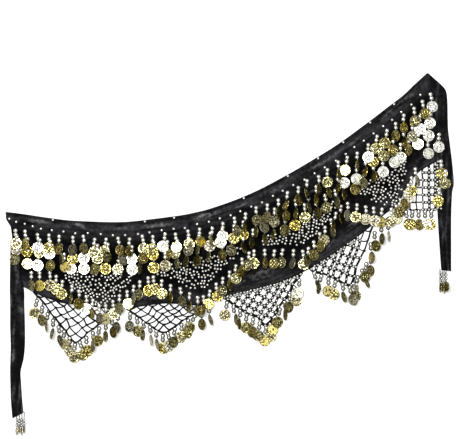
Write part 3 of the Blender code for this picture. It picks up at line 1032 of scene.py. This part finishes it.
def makeSquareNet():
    heap = Heap("bead", "cord")
    foot, row = squareNet["foot"], squareNet["row"]
    lines = np.linspace(squareNet["left"], squareNet["right"], squareNet["columns"] + 1)
    tops = [underEdge(x, nets["under"])[1] for x in lines]
    for number, (x, top) in enumerate(zip(lines, tops)):
        levels = list(np.arange(foot, top - 4, row)) + [top]
        spots = [(near(x, squareNet["scatter"]) if number else x, level) for level in levels]
        knotBeads = x > squareNet["knotsFrom"]
        for lower, upper in zip(spots, spots[1:]):
            addCord(heap, lower, upper, nets["cord"], 0, x > squareNet["beadsFrom"])
        for level in levels[:-1]:
            if number + 1 < len(lines) and level < tops[number + 1] - 3:
                addCord(heap, (x, level), (lines[number + 1], level), nets["cord"], 0.5, knotBeads)
            if knotBeads:
                netBead(heap, x, level)
            else:
                addKnot(heap, x, level, 1.0)
    addSeam(heap, lines[0], lines[-1], 16)
    beadLines, last, high = squareNet["onTie"]
    for y in np.arange(foot + 3, last, nets["seamPitch"]):
        for x in beadLines:
            addBead(heap, near(x, 0.8), near(y, 0.8), high, nets["bead"])
    heap.make("net_5_cords", "net_cord", ["net_5"])
    heap = dropHeap()
    for order, x in enumerate(squareNet["coins"]):
        addDrop(heap, x, squareNet["coinsAt"], netBase(order), nets["rise"], "golden")
    for x, y, place in squareNet["tieCoins"]:
        addDrop(heap, x, y, squareNet["tieHigh"], 0.0, place, near(0, 5))
    heap.make("net_5_coins", "coin_metal", ["net_coins_5"])


makeSquareNet()
print("square net made")

# single beads sewn on the velvet
waistBeads = {
    # radius, then height of its middle and its flatness
    "radius": 2.0, "middle": 0.5, "flat": 0.7,
    # closer together up to 60 mm from the left end
    "start": 8.5, "closer": 14.5, "closerTo": 60, "pitch": 21.0,
    # distance under the top edge against the share of the row
    "offset": [(0.0, 10.0), (0.03, 14.0), (0.08, 20.0), (0.3, 22.0), (1.0, 21.0)],
    # some more beads beside the edge
    "rim": 2.6,
    "onEdge": [-309, -148, -97, 25, 102, 155, 199, 246, 288],
}


def sewBead(heap, x, y, radius):
    ground = clothHeight(x, y)
    if ground is not None:
        middle = ground + radius * waistBeads["middle"]
        addBead(heap, x, y, middle, radius, flat=waistBeads["flat"])


def makeWaistBeads():
    heap = Heap("bead")
    offset = np.interp(np.linspace(0, 1, len(topEdge)), *zip(*waistBeads["offset"]))
    line = besideTopEdge(offset[:, None])
    along = waistBeads["start"]
    while along < lengthOf(line) - 4:
        x, y = spaced(line, [along])[0]
        sewBead(heap, x, near(y, 0.9), waistBeads["radius"])
        pitch = waistBeads["closer" if along < waistBeads["closerTo"] else "pitch"]
        along += near(pitch, 1.2)
    rim = besideTopEdge(waistBeads["rim"])
    for x in waistBeads["onEdge"]:
        y = float(np.interp(x, rim[:, 0], rim[:, 1]))
        sewBead(heap, x, y, waistBeads["radius"] * 0.95)
    heap.make("waist_beads", "bead_silver")


makeWaistBeads()

beadFields = {
    # corners of each beaded field
    "fields": [
        [(-287, -38), (-250, -28), (-216, -30), (-168, -34), (-178, -58), (-190, -67),
         (-202, -77), (-219, -89), (-229, -93), (-243, -83), (-252, -71), (-269, -63),
         (-285, -51)],
        [(-139, -22), (-110, -18), (-86, -15), (-60, -10), (-29, -2), (-8, 0), (10, 9), (27, 13),
         (9, -8), (-6, -21), (-16, -30), (-31, -47), (-44, -61), (-57, -65), (-74, -58),
         (-91, -48), (-98, -45), (-139, -33)],
        [(54, 20), (58, 28), (69, 33), (83, 35), (100, 39), (117, 47), (130, 54), (134, 63),
         (146, 73), (157, 83), (175, 90), (192, 96), (193, 86), (182, 73), (178, 64), (173, 57),
         (165, 50), (158, 44), (151, 34), (141, 24), (128, 17), (115, 14), (89, 15), (70, 14),
         (60, 12)],
        [(226, 102), (230, 118), (242, 128), (257, 129), (268, 137), (283, 146), (292, 152),
         (306, 161), (317, 166), (312, 148), (305, 134), (304, 118), (299, 101), (296, 84),
         (268, 83), (263, 89), (254, 90), (244, 94), (242, 101)],
    ],
    # lines of beads: pitch, slant, wave, random shift and least distance
    "reach": 100, "pitch": 5.4, "line": 5.5, "slant": 14.0, "wave": 2.3, "jitter": 0.8,
    "closest": 4.3, "radius": 1.75,
}


def inside(x, y, corners):
    found = False
    for (x0, y0), (x1, y1) in zip(corners, corners[1:] + corners[:1]):
        if (y0 > y) != (y1 > y) and x < x0 + (x1 - x0) * (y - y0) / (y1 - y0):
            found = not found
    return found


def makeBeadField(number, corners):
    heap = Heap("bead")
    xs, ys = zip(*corners)
    slant = math.atan2(corners[1][1] - corners[0][1], corners[1][0] - corners[0][0])
    slant += math.radians(beadFields["slant"]) * (-1) ** number
    middle = (sum(xs) / len(xs), sum(ys) / len(ys))
    reach, jitter, sewn = beadFields["reach"], beadFields["jitter"], []
    for row in np.arange(-reach, reach, beadFields["line"]):
        phase = random.uniform(0, 1.4)
        for along in np.arange(-reach + random.uniform(0, 5), reach, beadFields["pitch"]):
            wave = beadFields["wave"] * math.sin(along / 8 + phase + row / 30)
            dx, dy = near(along, jitter), near(row + wave, jitter)
            x = middle[0] + dx * math.cos(slant) - dy * math.sin(slant)
            y = middle[1] + dx * math.sin(slant) + dy * math.cos(slant)
            free = all(math.dist((x, y), other) > beadFields["closest"] for other in sewn)
            if free and inside(x, y, corners):
                sewBead(heap, x, y, beadFields["radius"])
                sewn.append((x, y))
    heap.make(f"bead_field_{number + 1}", "bead_silver")
    return len(sewn)


for number, corners in enumerate(beadFields["fields"]):
    print("bead field", number + 1, makeBeadField(number, corners))

tassels = {
    # left x, right x, top y, lowest y
    "left": (-374, -357, -289, -317.5), "right": (366, 381, -31.5, -71), "strands": 4,
    # how far a strand reaches up over the tie
    "tucked": {"left": 12, "right": 5},
    "high": 1.6,
    # shares of the length, and how much every other strand is shifted
    "knotsAt": (0.02, 0.3, 0.55), "beadsAt": (0.06, 0.24, 0.42), "coinAt": 0.76,
    "shift": (0.09, 0.07),
    "bead": 1.7, "coin": 0.24,
    # degrees, then tone, wear and painted glare
    "turn": (66, 78), "look": (0.5, 0.2, 0.2),
}


def makeTassel(side):
    leftX, rightX, topY, footY = tassels[side]
    high, (beadShift, coinShift) = tassels["high"], tassels["shift"]
    heap = dropHeap()
    for number in range(tassels["strands"]):
        x = leftX + (rightX - leftX) * (number + 0.5) / tassels["strands"]
        span = footY - topY + random.uniform(0, 3)
        route = [(x, topY + tassels["tucked"][side], high)]
        for share in tassels["knotsAt"]:
            route.append((near(x, 0.3), topY + span * share, high))
        addTube(heap, route, 0.6)
        for share in tassels["beadsAt"]:
            y = topY + span * (share + beadShift * (number % 2))
            addBead(heap, near(x, 0.5), y, 2.4, tassels["bead"], "bead", 1.0)
        radius = abs(span) * tassels["coin"]
        turn = math.radians(random.choice((-1, 1)) * random.uniform(*tassels["turn"]))
        y = topY + span * (tassels["coinAt"] - coinShift * (number % 2))
        centre = (x, y, 0.9 + radius * math.sin(abs(turn)))
        size = radius / coin["radius"]
        addCoin(heap, "leaves", centre, Euler((0, turn, 0)), size, tassels["look"])
    heap.make(side + "_tassel_strands", "bead_silver", [side + "_tassel"])


makeTassel("left")
makeTassel("right")
print("tassels made")

# floor, light and camera
studio = {
    "floor": 8.0, "floorAt": -0.0003,
    "floorColour": (0.93, 0.93, 0.93, 1), "floorGlow": 0.25,
    # place, size and power
    "lights": {"overhead": ((0, 0.05, 3.7), 1.0, 4), "softbox": ((-0.5, 0.7, 3.0), 0.8, 62)},
    "skyStrength": 1.05, "viewCentre": (-0.0020, 0.0603),
    "viewWidth": 0.8, "distance": 3.2, "sensor": 36.0,
    "sky": [
        (0.0, (0.16, 0.16, 0.17)),
        (0.55, (0.28, 0.28, 0.28)),
        (0.86, (0.62, 0.62, 0.62)),
        (0.955, (0.95, 0.95, 0.95)),
        (1.0, (1.15, 1.15, 1.15)),
    ],
}


def makeFloor():
    half, level = studio["floor"] / 2, studio["floorAt"]
    mesh = bpy.data.meshes.new("floor")
    corners = [(x * half, y * half, level) for x, y in ((-1, -1), (1, -1), (1, 1), (-1, 1))]
    mesh.from_pydata(corners, [], [(0, 1, 2, 3)])
    glow = {"Emission_Color": (1, 1, 1, 1), "Emission_Strength": studio["floorGlow"]}
    pale = Finish("pale_floor", Base_Color=studio["floorColour"], Roughness=0.9, **glow)
    mesh.materials.append(pale.material)
    floor = placed("floor", mesh)


def makeLight(name, at, size, power):
    lamp = bpy.data.lights.new(name, "AREA")
    lamp.shape, lamp.size, lamp.energy = "DISK", size, power
    made = placed(name, lamp)
    made.location = at
    made.rotation_euler = (-Vector(at)).to_track_quat("-Z", "Y").to_euler()


class Sky(Finish):
    # the studio round the part: bright overhead, dark at the horizon
    def __init__(self, strength):
        world = bpy.data.worlds.new("studio")
        bpy.context.scene.world = world
        world.use_nodes = True
        self.tree = world.node_tree
        self.shader = self.tree.nodes["Background"]
        self.shader.inputs["Strength"].default_value = strength


def makeSky():
    made = Sky(studio["skyStrength"])
    where = made.node("ShaderNodeTexCoord", {}, out="Generated")
    up = made.node("ShaderNodeSeparateXYZ", {}, out="Z", in0=where)
    made.feed("Color", made.node("ShaderNodeValToRGB", {"stops": studio["sky"]}, in0=up))


makeFloor()
makeSky()
for name, light in studio["lights"].items():
    makeLight(name, *light)

camera = bpy.data.cameras.new("camera")
camera.sensor_width = studio["sensor"]
camera.lens = studio["sensor"] * studio["distance"] / studio["viewWidth"]
eye = placed("camera", camera)
eye.location = (*studio["viewCentre"], studio["distance"])
bpy.context.scene.camera = eye
bpy.context.scene.view_settings.view_transform = "Standard"
print("studio made")
